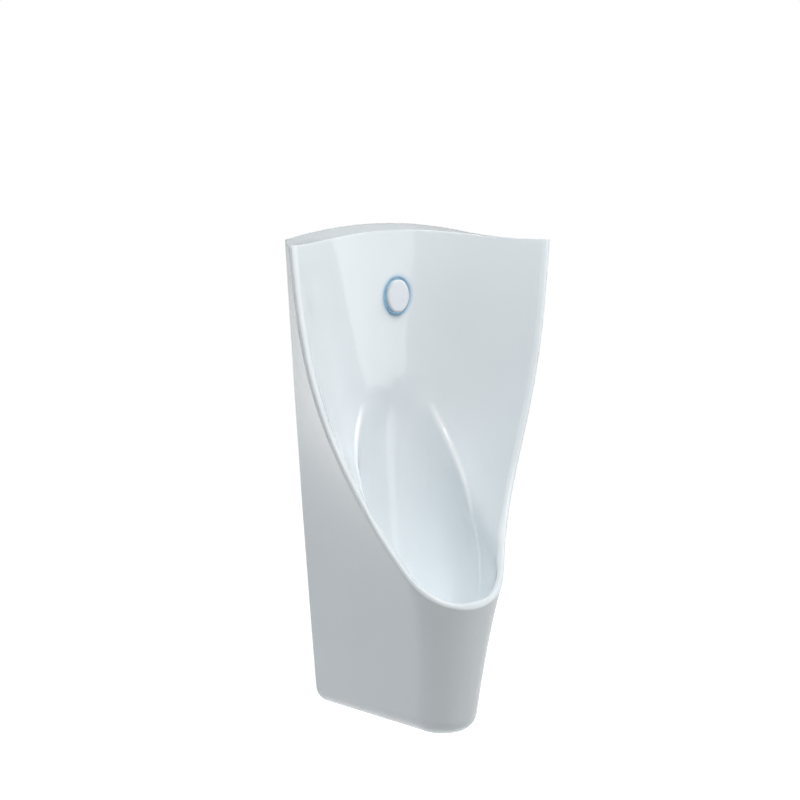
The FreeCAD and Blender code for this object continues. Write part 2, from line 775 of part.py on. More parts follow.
def plunger_seal():
    """Rubber disc that closes the seat."""
    return bar(valve_depth, valve_height, plunger_head_radius, seat_face, plunger_left)


def valve_coil():
    """Sealed coil that draws the plunger off its seat."""
    solid = bar(valve_depth, valve_height, coil_radius, valve_right, valve_right + coil_length)
    bore = plunger_radius + running_gap
    return solid.cut(bar(valve_depth, valve_height, bore, valve_right - overcut, core_end))


def plunger_spring():
    start = plunger_left + plunger_length
    length = core_end - start
    place = at(start, valve_depth, valve_height)
    return closed_coil(place, rightward, length, plunger_spring_radius, plunger_spring_wire)


def valve_saddle():
    """Plastic saddle between the valve and the carrier plate."""
    bottom = valve_height - saddle_height / 2
    middle = (valve_left + valve_right) / 2
    left = middle - saddle_width / 2
    top = bottom + saddle_height
    solid = block(left, left + saddle_width, valve_depth, carrier_back, bottom, top)
    clear = bar(valve_depth, valve_height, valve_radius + fit_gap, valve_left, valve_right)
    socket = pipe_radius + socket_wall + fit_gap
    outlet = post(0, valve_depth, socket, valve_height, pipe_bottom + socket_depth)
    return solid.cut(clear).cut(outlet)


def inlet_elbow():
    """Threaded inlet from the wall, which turns to the valve through the stop."""
    solid = bar(valve_depth, valve_height, valve_radius, elbow_left, elbow_right)
    solid = solid.fuse(rod(inlet_x, valve_height, inlet_radius, -inlet_reach, valve_depth))
    solid = solid.fuse(rod(inlet_x, valve_height, collar_radius, 0, tee_wall))
    solid = solid.fuse(bar(valve_depth, valve_height, pipe_radius, elbow_right - overcut, nipple_end))
    solid = solid.fuse(post(spindle_x, valve_depth, spindle_boss_radius, spindle_boss_bottom, valve_height))
    solid = solid.cut(rod(inlet_x, valve_height, inlet_bore, -inlet_reach - overcut, valve_depth))
    solid = solid.cut(bar(valve_depth, valve_height, nipple_bore, inlet_x, nipple_end + overcut))
    hole = spindle_radius + running_gap
    return solid.cut(post(spindle_x, valve_depth, hole, spindle_boss_bottom - overcut, spindle_top + fit_gap))


def stop_spindle():
    """Quarter-turn plug of the stop, bored through and slotted for a screwdriver."""
    head_top = spindle_boss_bottom - fit_gap
    head_bottom = head_top - spindle_head
    solid = post(spindle_x, valve_depth, spindle_radius, head_bottom, spindle_top)
    solid = solid.fuse(post(spindle_x, valve_depth, spindle_head_radius, head_bottom, head_top))
    reach = 2 * spindle_radius
    solid = solid.cut(bar(valve_depth, valve_height, nipple_bore, spindle_x - reach, spindle_x + reach))
    half = spindle_slot / 2
    slot = block(-reach, reach, -half, half, -overcut, spindle_head / 2)
    slot.translate(FreeCAD.Vector(spindle_x, -valve_depth, head_bottom))
    return solid.cut(slot)


def box_screw_x():
    return (box_left + box_right) / 2


def box_screw_heights():
    return (box_bottom + box_screw_inset, box_top - box_screw_inset)


def control_box():
    """Sealed case for the control board and its batteries."""
    solid = block(box_left, box_right, box_back, carrier_back, box_bottom, box_top)
    upright = [edge for edge in solid.Edges if abs(edge.tangentAt(edge.FirstParameter).y) > 0.9]
    solid = solid.makeFillet(box_rounding, upright)
    for height in box_screw_heights():
        hole = rod(box_screw_x(), height, box_screw_radius + running_gap, carrier_back - box_screw_length,
                   carrier_back + overcut)
        solid = solid.cut(hole)
    return solid


def box_screws():
    """Two screws through the carrier plate into the control box."""
    screws = []
    for height in box_screw_heights():
        tip = carrier_back - box_screw_length + fit_gap
        shank = rod(box_screw_x(), height, box_screw_radius, tip, washer_back)
        head = rod(box_screw_x(), height, box_screw_head, washer_back, washer_back + box_screw_radius)
        screws.append(shank.fuse(head))
    return Part.Compound(screws)


def waste_body():
    """Flanged waste with a dip pipe down into the trap and a spider for the strainer's screw."""
    solid = post(0, drain_depth, flange_radius, flange_bottom, flange_top)
    solid = solid.fuse(post(0, drain_depth, tail_pipe_radius, dip_bottom, flange_top))
    solid = post_hole(solid, 0, drain_depth, waste_bore, dip_bottom, flange_top)
    solid = solid.cut(post(0, drain_depth, strainer_radius + fit_gap, strainer_bottom, flange_top + overcut))
    reach = waste_bore + waste_wall / 2
    half = spider_width / 2
    bridge = block(-reach, reach, drain_depth - half, drain_depth + half, strainer_bottom - spider_thickness,
                   strainer_bottom)
    solid = solid.fuse(bridge)
    hole = strainer_screw_radius + running_gap
    return post_hole(solid, 0, drain_depth, hole, strainer_bottom - spider_thickness, strainer_bottom)


def waste_gasket():
    solid = post(0, drain_depth, flange_radius, bowl_floor, flange_bottom)
    return post_hole(solid, 0, drain_depth, tail_pipe_radius + fit_gap, bowl_floor, flange_bottom)


def strainer():
    """Round grate in the waste's flange, with two rings of holes."""
    solid = post(0, drain_depth, strainer_radius, strainer_bottom, flange_top)
    solid = post_hole(solid, 0, drain_depth, strainer_screw_radius + fit_gap, strainer_bottom, flange_top)
    for count, share in ((6, 0.42), (12, 0.74)):
        for step in range(count):
            turn = 2 * math.pi * step / count
            x = strainer_radius * share * math.cos(turn)
            depth = drain_depth + strainer_radius * share * math.sin(turn)
            solid = post_hole(solid, x, depth, strainer_hole_radius, strainer_bottom, flange_top)
    return solid


def strainer_screw():
    bottom = strainer_bottom - spider_thickness
    shank = post(0, drain_depth, strainer_screw_radius, bottom, flange_top)
    head = post(0, drain_depth, strainer_screw_head, flange_top, flange_top + strainer_thickness)
    half = spindle_slot / 2
    reach = strainer_screw_head
    slot = block(-reach, reach, -half, half, strainer_thickness / 2, strainer_thickness + overcut)
    slot.translate(FreeCAD.Vector(0, -drain_depth, flange_top))
    return shank.fuse(head).cut(slot)


def waste_washer():
    solid = post(0, drain_depth, flange_radius, waste_nut_top, floor_under)
    return post_hole(solid, 0, drain_depth, tail_pipe_radius + fit_gap, waste_nut_top, floor_under)


def waste_nut():
    bottom = waste_nut_top - waste_nut_thickness
    solid = hexagon(at(0, drain_depth, bottom), upward, waste_nut_across, waste_nut_thickness)
    return post_hole(solid, 0, drain_depth, tail_pipe_radius + running_gap, bottom, waste_nut_top)


def trap_body():
    """Trap round the dip pipe, with a socket for the outlet pipe."""
    inner = trap_radius - trap_wall
    solid = post(0, drain_depth, trap_radius, trap_bottom, trap_top)
    socket = outlet_radius + running_gap + trap_wall
    solid = solid.fuse(rod(0, outlet_height, socket, outlet_socket_mouth, drain_depth))
    solid = solid.cut(post(0, drain_depth, inner, trap_bottom - overcut, trap_top - trap_wall))
    solid = solid.cut(post(0, drain_depth, tail_pipe_radius + running_gap, trap_bottom, trap_top + overcut))
    socket_bore = outlet_radius + running_gap
    solid = solid.cut(rod(0, outlet_height, socket_bore, outlet_socket_mouth - overcut, outlet_end))
    return solid.cut(rod(0, outlet_height, spigot_radius - outlet_wall, outlet_end - overcut, drain_depth))


def trap_cup():
    """Cup screwed to the bottom of the trap, taken off to clean it."""
    outer = trap_radius + fit_gap + trap_wall
    solid = post(0, drain_depth, outer, cup_bottom, cup_top)
    return solid.cut(post(0, drain_depth, trap_radius + fit_gap, cup_bottom + cup_floor, cup_top + overcut))


def outlet_pipe():
    """Pipe from the trap to the wall, with a narrower spigot for the drain in the wall."""
    solid = rod(0, outlet_height, outlet_radius, 0, outlet_end)
    solid = solid.fuse(rod(0, outlet_height, spigot_radius, -spigot_length, overcut))
    return rod_hole(solid, 0, outlet_height, spigot_radius - outlet_wall, -spigot_length, outlet_end)


def outlet_seal():
    """Rubber collar on the outlet pipe at the wall."""
    solid = rod(0, outlet_height, outlet_seal_radius, 0, outlet_seal_thickness)
    return rod_hole(solid, 0, outlet_height, outlet_radius + running_gap, 0, outlet_seal_thickness)


def hanger(side):
    """Steel wall bracket with a shelf and an upturned lip that the china hooks over."""
    left = side * hanger_x - hanger_width / 2
    right = side * hanger_x + hanger_width / 2
    lip_back = china + 2 * fit_gap
    lip_front = lip_back + hanger_gauge
    solid = block(left, right, 0, hanger_gauge, hanger_bottom, hanger_shelf)
    solid = solid.fuse(block(left, right, 0, lip_front, hanger_shelf - hanger_gauge, hanger_shelf))
    lip_bottom = hanger_shelf - hanger_gauge
    solid = solid.fuse(block(left, right, lip_back, lip_front, lip_bottom, hanger_shelf + hanger_lip))
    for step in (-0.5, 0.5):
        height = hanger_height + step * hanger_hole_spacing
        solid = rod_hole(solid, side * hanger_x, height, hanger_hole_radius, 0, hanger_gauge)
    return solid.removeSplitter()


def hanger_pads():
    """Rubber pads between the shelves and the china."""
    pads = []
    for side in (-1, 1):
        left = side * hanger_x - hanger_width / 2
        right = left + hanger_width
        pads.append(block(left, right, fit_gap, china, hanger_shelf, hanger_shelf + pad_thickness))
    return Part.Compound(pads)


os.makedirs("parts", exist_ok=True)
pieces = {
    "china_body": china_body(),
    "button_housing": button_housing(),
    "housing_gasket": housing_gasket(),
    "light_board": light_board(),
    "light_ring": light_ring(),
    "flush_button": flush_button(),
    "button_stem": button_stem(),
    "stem_clip": stem_clip(),
    "button_spring": button_spring(),
    "housing_washer": housing_washer(),
    "carrier_plate": carrier_plate(),
    "housing_nut": housing_nut(),
    "water_tee": water_tee(),
    "flush_pipe": flush_pipe(),
    "valve_body": valve_body(),
    "valve_plunger": valve_plunger(),
    "plunger_seal": plunger_seal(),
    "valve_coil": valve_coil(),
    "plunger_spring": plunger_spring(),
    "valve_saddle": valve_saddle(),
    "inlet_elbow": inlet_elbow(),
    "stop_spindle": stop_spindle(),
    "control_box": control_box(),
    "box_screws": box_screws(),
    "waste_body": waste_body(),
    "waste_gasket": waste_gasket(),
    "strainer": strainer(),
    "strainer_screw": strainer_screw(),
    "waste_washer": waste_washer(),
    "waste_nut": waste_nut(),
    "trap_body": trap_body(),
    "trap_cup": trap_cup(),
    "outlet_pipe": outlet_pipe(),
    "outlet_seal": outlet_seal(),
    "hanger_left": hanger(-1),
    "hanger_right": hanger(1),
    "hanger_pads": hanger_pads(),
}
for name, shape in pieces.items():
    shape.exportStep("parts/" + name + ".step")
    print(name, shape.isValid(), len(shape.Solids), round(shape.Volume))
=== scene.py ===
"""Wall-hung urinal with a lit flush button: glazed china and its fittings, in a white studio."""

import json
import math

import bpy
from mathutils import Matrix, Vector


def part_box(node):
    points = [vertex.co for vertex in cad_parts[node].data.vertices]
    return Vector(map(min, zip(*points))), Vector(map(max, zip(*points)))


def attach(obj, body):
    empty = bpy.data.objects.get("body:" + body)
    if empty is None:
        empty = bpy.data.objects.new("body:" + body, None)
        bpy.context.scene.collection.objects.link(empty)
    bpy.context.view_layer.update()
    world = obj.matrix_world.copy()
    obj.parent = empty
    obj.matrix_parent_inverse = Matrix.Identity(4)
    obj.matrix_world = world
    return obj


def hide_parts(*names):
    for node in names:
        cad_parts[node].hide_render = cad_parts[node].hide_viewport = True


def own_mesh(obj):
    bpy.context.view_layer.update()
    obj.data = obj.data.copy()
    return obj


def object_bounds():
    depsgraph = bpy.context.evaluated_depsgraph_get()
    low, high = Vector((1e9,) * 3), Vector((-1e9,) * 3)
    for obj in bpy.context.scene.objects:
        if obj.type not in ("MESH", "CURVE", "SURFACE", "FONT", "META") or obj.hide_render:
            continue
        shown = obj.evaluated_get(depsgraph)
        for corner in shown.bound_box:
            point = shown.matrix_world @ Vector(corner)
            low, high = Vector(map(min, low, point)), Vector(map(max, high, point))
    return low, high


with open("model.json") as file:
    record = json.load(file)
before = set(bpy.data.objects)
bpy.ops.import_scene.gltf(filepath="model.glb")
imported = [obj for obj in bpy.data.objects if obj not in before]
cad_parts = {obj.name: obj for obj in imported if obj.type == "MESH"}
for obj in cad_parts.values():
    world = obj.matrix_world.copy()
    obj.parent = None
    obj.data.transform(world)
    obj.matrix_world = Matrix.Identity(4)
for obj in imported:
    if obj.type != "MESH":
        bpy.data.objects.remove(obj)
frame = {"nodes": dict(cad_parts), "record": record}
cad_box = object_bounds()

# Photograph's viewpoint
PHOTO_PIXELS = 800
VIEW_AZIMUTH = math.radians(-21.5)
VIEW_ELEVATION = math.radians(9.323)
VIEW_DISTANCE = 3.5
VIEW_TARGET = Vector((0.0, -0.142, -0.2754))
TARGET_PIXEL = (418, 478)
SENSOR_WIDTH = 36.0
FOCAL_PIXELS = 2380

# Places on the object, in metres in its frame
DRAIN_CENTRE = (0.0, -0.168)
BUTTON_HALF_WIDTH = 0.021
BUTTON_HALF_HEIGHT = 0.028
BUTTON_SPRING_END = -0.049
PLUNGER_SPRING_END = 0.0325
INLET_THREAD_START = 0.004
THREAD_RUN_IN = 0.0006
THREAD_PITCH = 0.0018

# Ridges between the back panel and the channel, set out by their turn round an upright axis in the bowl
RIDGE_AXIS_DEPTH = 0.230
RIDGE_MIDDLE = -0.30
RIDGE_TURN = (0.6869, -3.8792, 3.023, 22.82)  # radians, as a cubic of the height above the middle
RIDGE_FOOT = (-0.45, -0.41)  # heights between which a ridge rises from nothing at its foot
RIDGE_HEAD = (-0.205, -0.165)  # and runs out at its head
RIDGE_RISE = 0.0026
RIDGE_PANEL_FLANK = 0.005
RIDGE_CHANNEL_FLANK = 0.012
RIDGE_PROFILE = (  # points across a ridge, in widths of its flanks
    -2.2, -1.8, -1.5, -1.2, -0.95, -0.72, -0.5, -0.3, -0.12, 0.0,
    0.15, 0.35, 0.55, 0.75, 0.95, 1.2, 1.5, 1.8, 2.2)
RIDGE_STATIONS = 80
RIDGE_TUCK = 0.00006  # depth of its edges in the china
RIDGE_ROOT = 0.001  # depth of its underside in the china
RIDGE_CREASE = math.radians(40)
# width of the painted highlight lightened into the glaze along a ridge's crest
RIDGE_HIGHLIGHT_WIDTH = 0.0040

# Finishes
TONE_SPREAD = (0.3, 0.7)  # part of a noise over which one tone gives way to the other
EDGE_SAMPLES = 6
GLAZE_EDGE = 0.004
FITTING_EDGE = 0.0005
GLAZE_INDEX = 1.52
CLAY_FACING = (0.55, 0.75)  # how far a face turns to the wall as its glaze gives way to clay
PANEL_FACING = (-0.6, -0.3)  # how far one turns from the front as the button's light on it ends
INWARD_REACH = 0.008  # distance from the middle by which a face turned to it is inside the china
# width and strength of the ring's glow, painted into the glaze colour
HALO_WIDTH = 0.16  # in half sizes of the button
HALO_STRENGTH = 0.75

# Studio: each lamp has a name, a place, a power and a colour
LIGHT_TARGET = Vector((0.0, -0.15, -0.3))
WORLD_LIGHT = 0.02
SOFTBOX_SIZE = (1.0, 1.0)
LAMPS = [
    ("front_softbox", (0.0, -1.34, 1.30), 27.0, (0.97, 0.99, 1.0)),
    ("right_softbox", (1.42, -0.97, 0.85), 12.0, (0.97, 0.99, 1.0)),
    ("left_rear_softbox", (-1.72, 0.84, 0.45), 7.5, (0.90, 0.97, 1.0)),
    ("rear_softbox", (-0.90, 1.60, 0.80), 7.5, (0.95, 0.98, 1.0)),
    ("left_softbox", (-1.60, -0.15, 0.95), 6.5, (0.90, 0.97, 1.0)),
]
WHITE_CARD = ("white_card", (1.12, -0.74, -0.20), 22.0, (0.95, 0.98, 1.0))
WHITE_CARD_SIZE = (3.2, 1.6)
GREY_CARD_HALF_SIZE = (0.85, 0.70)
GREY_CARD_PLACE = (0.20, 1.05, 0.10)
GREY_CARD_TURN = math.radians(-15)
GREY_CARD_FADE = (-0.65, 0.0)  # heights on the card between which it comes in
FLOOR_HALF_WIDTH = 40.0
FLOOR_DROP = 0.42
FLOOR_NEAR_GLOW = 0.72
FLOOR_GLOW_REACH = (0.6, 3.0)


# Shader maths

class Wire:
    """A socket in a material's node tree: sums and products of wires add the nodes that work them out."""

    def __init__(self, tree, socket=None):
        self.tree = tree
        self.socket = socket

    def add(self, kind, settings=None, sockets=None, out=0):
        """Adds a node, sets its settings, fills or links its sockets and gives one of its outputs."""
        node = self.tree.nodes.new(kind)
        for name, value in (settings or {}).items():
            setattr(node, name, value)
        self.fill(node, sockets or {})
        return Wire(self.tree, node.outputs[out])

    def fill(self, node, sockets):
        """Links wires to a node's inputs, and sets the inputs that are given as plain values."""
        for key, value in sockets.items():
            if isinstance(value, Wire):
                self.tree.links.new(value.socket, node.inputs[key])
            else:
                node.inputs[key].default_value = value

    def output(self, name):
        """Another output of this wire's node."""
        return Wire(self.tree, self.socket.node.outputs[name])

    def math(self, operation, first, second=0.0):
        return self.add("ShaderNodeMath", {"operation": operation}, {0: first, 1: second})

    def __add__(self, other):
        return self.math("ADD", self, other)

    def __sub__(self, other):
        return self.math("SUBTRACT", self, other)

    def __rsub__(self, other):
        return self.math("SUBTRACT", other, self)

    def __mul__(self, other):
        return self.math("MULTIPLY", self, other)

    def __truediv__(self, other):
        return self.math("DIVIDE", self, other)

    def __pow__(self, other):
        return self.math("POWER", self, other)

    def __abs__(self):
        return self.math("ABSOLUTE", self)

    def clamp(self):
        return self.add("ShaderNodeClamp", sockets={"Value": self})

    def wave(self):
        """Sine of this wire's value."""
        return self.math("SINE", self)

    def larger(self, other):
        return self.math("MAXIMUM", self, other)

    def step(self, low, high):
        """0 below low and 1 above high, smooth between them."""
        return self.add("ShaderNodeMapRange", {"interpolation_type": "SMOOTHSTEP"},
                        {"Value": self, "From Min": low, "From Max": high})

    def bell(self, width):
        """1 where this wire's value is 0, falling off over a width on both sides."""
        return self.math("POWER", math.e, (self / width) ** 2 * -1)

    def blend(self, first, second):
        """A colour between two, by this wire's value."""
        first_colour, second_colour, mixed_colour = 6, 7, 2
        return self.add("ShaderNodeMix", {"data_type": "RGBA"},
                        {"Factor": self, first_colour: first, second_colour: second}, out=mixed_colour)

    def two_tones(self, first, second):
        """Two tones of one finish, spread by a noise."""
        return self.step(*TONE_SPREAD).blend(first, second)


def rgb(red, green, blue):
    return (red, green, blue, 1.0)


def new_material(name):
    """A plain material; gives the material, its tree as a wire, and its shader's node."""
    material = bpy.data.materials.new(name)
    material.use_nodes = True
    tree = material.node_tree
    return material, Wire(tree), tree.nodes["Principled BSDF"]


def place_on(tree):
    """The object's own coordinates, in metres in the frame."""
    return tree.add("ShaderNodeTexCoord", out="Object")


def along(place, axis):
    """One coordinate of a place."""
    return place.add("ShaderNodeSeparateXYZ", sockets={"Vector": place}).output(axis)


def stretched(place, x, y, z):
    """A place with its coordinates scaled apart, for grain that runs one way."""
    return place.add("ShaderNodeVectorMath", {"operation": "MULTIPLY"}, {0: place, 1: (x, y, z)})


def noise(place, scale, detail):
    return place.add("ShaderNodeTexNoise", sockets={"Vector": place, "Scale": scale, "Detail": detail})


def cells(place, scale):
    """Distance to the nearest of many scattered points."""
    return place.add("ShaderNodeTexVoronoi", sockets={"Vector": place, "Scale": scale})


def soft_edges(tree, radius):
    """Normals that turn gently over the edges of a solid."""
    return tree.add("ShaderNodeBevel", {"samples": EDGE_SAMPLES}, {"Radius": radius})


def relief(height, strength, distance, edges):
    """Normals with a fine relief on top of the softened edges."""
    sockets = {"Height": height, "Strength": strength, "Distance": distance, "Normal": edges}
    return height.add("ShaderNodeBump", sockets=sockets)


def put(name, data):
    """A new object in the scene."""
    thing = bpy.data.objects.new(name, data)
    bpy.context.scene.collection.objects.link(thing)
    return thing


# China

def ridge_turn(height):
    """Turn of a ridge from straight back, in radians, at a height that is a number or a wire."""
    rise = height - RIDGE_MIDDLE
    start, slope, bend, twist = RIDGE_TURN
    return ((rise * twist + bend) * rise + slope) * rise + start


def painted_ridge_highlight(place, normal):
    """Painted highlight along the crests of the ridges: 1 on the crests, on the inside of the china, and 0
    away from them.
    """
    across = abs(along(place, "X"))
    back = along(place, "Y") + RIDGE_AXIS_DEPTH
    height = along(place, "Z")
    inward = (along(place, "X") * along(normal, "X") * -1).step(0.0, INWARD_REACH)
    on_ridge = inward * height.step(*RIDGE_FOOT) * (1 - height.step(*RIDGE_HEAD))
    turn = across.math("ARCTAN2", across, back)
    off_crest = (turn - ridge_turn(height)) * (across * across + back * back) ** 0.5
    return on_ridge * off_crest.bell(RIDGE_HIGHLIGHT_WIDTH)


def painted_ring_glow(place, normal):
    """Painted glow of the ring's light on the panel: 1 at the button's edge, fading outwards."""
    low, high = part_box("light_ring")
    across = along(place, "X") / BUTTON_HALF_WIDTH
    above = (along(place, "Z") - (low[2] + high[2]) / 2) / BUTTON_HALF_HEIGHT
    outside = ((across * across + above * above) ** 0.5 - 1).larger(0.0)
    return outside.bell(HALO_WIDTH) * (1 - along(normal, "Y").step(*PANEL_FACING))


def glaze_material(name, edge):
    """White glaze, cool and very glossy, with a painted highlight along the ridges and a painted blue glow
    round the button; what faces the wall is bare fired clay.
    """
    material, tree, shader = new_material(name)
    place = place_on(tree)
    normal = tree.add("ShaderNodeNewGeometry", out="Normal")
    clay = along(normal, "Y").step(*CLAY_FACING)
    broad = noise(place, scale=9.0, detail=2.0)
    fine = noise(place, scale=70.0, detail=3.0)
    grain = noise(place, scale=420.0, detail=4.0)
    glaze = broad.two_tones(rgb(0.848, 0.890, 0.915), rgb(0.864, 0.902, 0.924))
    # painted highlight: the glaze colour is lightened to near white along the ridge crests
    glaze = painted_ridge_highlight(place, normal).blend(glaze, rgb(0.98, 0.985, 0.99))
    # painted glow: the glaze colour is tinted blue round the button, as if lit by the ring
    glaze = (painted_ring_glow(place, normal) * HALO_STRENGTH).blend(glaze, rgb(0.42, 0.62, 0.80))
    biscuit = broad.two_tones(rgb(0.66, 0.62, 0.56), rgb(0.74, 0.71, 0.66))
    biscuit = cells(place, scale=260.0).step(0.05, 0.12).blend(rgb(0.46, 0.41, 0.35), biscuit)
    skin = broad * 0.7 + fine * 0.3 + clay * grain * 0.6
    tree.fill(shader, {
        "Base Color": clay.blend(glaze, biscuit),
        "Roughness": fine * 0.05 + 0.04 + clay * (grain * 0.2 + 0.6),
        "Normal": relief(skin, strength=0.06, distance=0.002, edges=soft_edges(tree, edge)),
        "IOR": GLAZE_INDEX,
    })
    return material


def smooth_share(value, low, high):
    """0 below low and 1 above high, smooth between them."""
    share = min(max((value - low) / (high - low), 0.0), 1.0)
    return share * share * (3 - 2 * share)


def on_china(start, side, turn):
    """The place on the china that is straight out from a start at a turn, and the direction to it."""
    outward = Vector((side * math.sin(turn), math.cos(turn), 0.0))
    return frame["nodes"]["china_body"].ray_cast(start, outward)[1], outward


def ridge_points(side):
    """Points on a ridge's face and, in the same order, on its underside: rows across it from foot to head."""
    face, underside = [], []
    for station in range(RIDGE_STATIONS + 1):
        height = RIDGE_FOOT[0] + (RIDGE_HEAD[1] - RIDGE_FOOT[0]) * station / RIDGE_STATIONS
        start = Vector((0.0, -RIDGE_AXIS_DEPTH, height))
        strength = smooth_share(height, *RIDGE_FOOT) * (1 - smooth_share(height, *RIDGE_HEAD))
        crest_turn = ridge_turn(height)
        reach = (on_china(start, side, crest_turn)[0] - start).length
        for flank in RIDGE_PROFILE:
            off = flank * (RIDGE_PANEL_FLANK if flank > 0 else RIDGE_CHANNEL_FLANK)
            place, outward = on_china(start, side, crest_turn + off / reach)
            rise = RIDGE_RISE * strength * math.exp(-flank * flank)
            face.append(place - outward * (rise - RIDGE_TUCK))
            underside.append(place + outward * RIDGE_ROOT)
    return face, underside


def sheet_faces(rows, columns):
    """Faces that close a sheet with a face, an underside and a border all round."""
    count = rows * columns
    faces = []
    for row in range(rows - 1):
        for column in range(columns - 1):
            corner = row * columns + column
            quad = (corner, corner + 1, corner + columns + 1, corner + columns)
            faces.append(quad)
            faces.append(tuple(count + number for number in reversed(quad)))
    border = list(range(columns)) + [row * columns + columns - 1 for row in range(1, rows)]
    border += [(rows - 1) * columns + column for column in range(columns - 2, -1, -1)]
    border += [row * columns for row in range(rows - 2, 0, -1)]
    for first, second in zip(border, border[1:] + border[:1]):
        faces.append((second, first, count + first, count + second))
    return faces


def ridge_piece(name, side, material):
    """Fine glazed ridge between the back panel and the channel, laid on the china along its line."""
    face, underside = ridge_points(side)
    faces = sheet_faces(RIDGE_STATIONS + 1, len(RIDGE_PROFILE))
    if side < 0:
        faces = [tuple(reversed(corners)) for corners in faces]
    mesh = bpy.data.meshes.new(name)
    mesh.from_pydata(face + underside, [], faces)
    mesh.shade_smooth()
    mesh.set_sharp_from_angle(angle=RIDGE_CREASE)
    mesh.materials.append(material)
    piece = put(name, mesh)
    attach(piece, "urinal")


# Springs

def spring_piece(node, axis, fixed_end):
    """Copy of a spring on the urinal's body, in place of its hidden node; the point at its fixed end is
    worked out but not used.
    """
    source = frame["nodes"][node]
    piece = put(node + "_coil", source.data.copy())
    piece.matrix_world = source.matrix_world
    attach(piece, "urinal")
    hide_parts(node)
    low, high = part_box(node)
    anchor = [(low[number] + high[number]) / 2 for number in range(3)]
    anchor[axis] = fixed_end
    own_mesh(piece)


# Finishes of the fittings

def plain_finish(name, colour, shade, roughness, grain_size, metallic=0.0, depth=0.15, spread=0.12,
                 edge=FITTING_EDGE):
    """Moulded or cast finish with a fine grain: two tones of one colour, uneven gloss and a slight relief."""
    material, tree, shader = new_material(name)
    place = place_on(tree)
    fine = noise(place, scale=1.0 / grain_size, detail=4.0)
    broad = noise(place, scale=0.12 / grain_size, detail=2.0)
    tree.fill(shader, {
        "Base Color": (fine * 0.4 + broad * 0.6).two_tones(shade, colour),
        "Roughness": fine * spread + (roughness - spread / 2),
        "Normal": relief(fine, strength=depth, distance=grain_size * 0.2, edges=soft_edges(tree, edge)),
        "Metallic": metallic,
    })
    return material


def brushed_steel(name, colour, shade):
    """Stainless sheet brushed upwards."""
    material, tree, shader = new_material(name)
    place = place_on(tree)
    lines = noise(stretched(place, 2600.0, 2600.0, 40.0), scale=1.0, detail=3.0)
    cloud = noise(place, scale=60.0, detail=2.0)
    tree.fill(shader, {
        "Base Color": (lines * 0.6 + cloud * 0.4).two_tones(shade, colour),
        "Roughness": lines * 0.22 + 0.2,
        "Normal": relief(lines, strength=0.12, distance=0.0002, edges=soft_edges(tree, FITTING_EDGE)),
        "Metallic": 1.0,
    })
    return material


def zinc_plate(name):
    """Galvanised steel with its patchwork of zinc crystals."""
    material, tree, shader = new_material(name)
    place = place_on(tree)
    crystal = along(cells(place, scale=170.0).output("Color"), "X")
    fine = noise(place, scale=900.0, detail=3.0)
    height = crystal * 0.5 + fine * 0.5
    tree.fill(shader, {
        "Base Color": crystal.blend(rgb(0.50, 0.52, 0.53), rgb(0.66, 0.68, 0.69)),
        "Roughness": crystal * 0.18 + fine * 0.08 + 0.26,
        "Normal": relief(height, strength=0.12, distance=0.0003, edges=soft_edges(tree, 0.0006)),
        "Metallic": 1.0,
    })
    return material


def turned_metal(name, colour, shade, roughness, centre):
    """Metal with the fine rings of a lathe round an upright axis."""
    material, tree, shader = new_material(name)
    place = place_on(tree)
    x = along(place, "X") - centre[0]
    y = along(place, "Y") - centre[1]
    out = (x * x + y * y) ** 0.5
    rings = noise(place, scale=30.0, detail=1.0) * 0.3 + (out * 9000.0).wave() * 0.35 + 0.35
    cloud = noise(place, scale=90.0, detail=3.0)
    tree.fill(shader, {
        "Base Color": (rings * 0.4 + cloud * 0.6).step(0.25, 0.75).blend(shade, colour),
        "Roughness": rings * 0.08 + cloud * 0.08 + (roughness - 0.08),
        "Normal": relief(rings, strength=0.06, distance=0.0002, edges=soft_edges(tree, FITTING_EDGE)),
        "Metallic": 1.0,
    })
    return material


def threaded_brass(name):
    """Machined brass, with the inlet's screw thread where it goes into the wall."""
    material, tree, shader = new_material(name)
    place = place_on(tree)
    into_wall = along(place, "Y")
    thread = into_wall.step(INLET_THREAD_START, INLET_THREAD_START + THREAD_RUN_IN)
    turns = (into_wall * (2 * math.pi / THREAD_PITCH)).wave() * 0.5 + 0.5
    fine = noise(place, scale=700.0, detail=4.0)
    broad = noise(place, scale=70.0, detail=2.0)
    height = thread * turns * 3.0 + fine * 0.2
    tree.fill(shader, {
        "Base Color": (fine * 0.4 + broad * 0.6).two_tones(rgb(0.66, 0.47, 0.19), rgb(0.80, 0.60, 0.27)),
        "Roughness": fine * 0.12 + 0.2,
        "Normal": relief(height, strength=0.35, distance=0.0004, edges=soft_edges(tree, FITTING_EDGE)),
        "Metallic": 1.0,
    })
    return material


def lamp_board(name):
    """Green circuit board with copper tracks and bright pads."""
    material, tree, shader = new_material(name)
    place = place_on(tree)
    sockets = {"Vector": place, "Scale": 220.0, "Mortar Size": 0.12}
    tracks = place.add("ShaderNodeTexBrick", sockets=sockets, out="Fac")
    pads = cells(place, scale=190.0).step(0.14, 0.18)
    lacquer = tracks.blend(rgb(0.02, 0.15, 0.08), rgb(0.04, 0.26, 0.13))
    tree.fill(shader, {
        "Base Color": pads.blend(rgb(0.70, 0.68, 0.62), lacquer),
        "Roughness": pads * 0.15 + 0.28,
        "Normal": relief(tracks, strength=0.1, distance=0.0001, edges=soft_edges(tree, 0.0002)),
    })
    return material


def lit_ring(name):
    """Clear ring lit blue from behind, with the lamps a little brighter than the gaps between them."""
    material, tree, shader = new_material(name)
    lamps = noise(place_on(tree), scale=120.0, detail=2.0).step(0.35, 0.65)
    tree.fill(shader, {
        "Base Color": lamps.blend(rgb(0.11, 0.21, 0.30), rgb(0.14, 0.25, 0.34)),
        "Emission Color": lamps.blend(rgb(0.09, 0.18, 0.26), rgb(0.12, 0.23, 0.32)),
        "Emission Strength": 1.0,
        "Roughness": 0.25,
    })
    return material


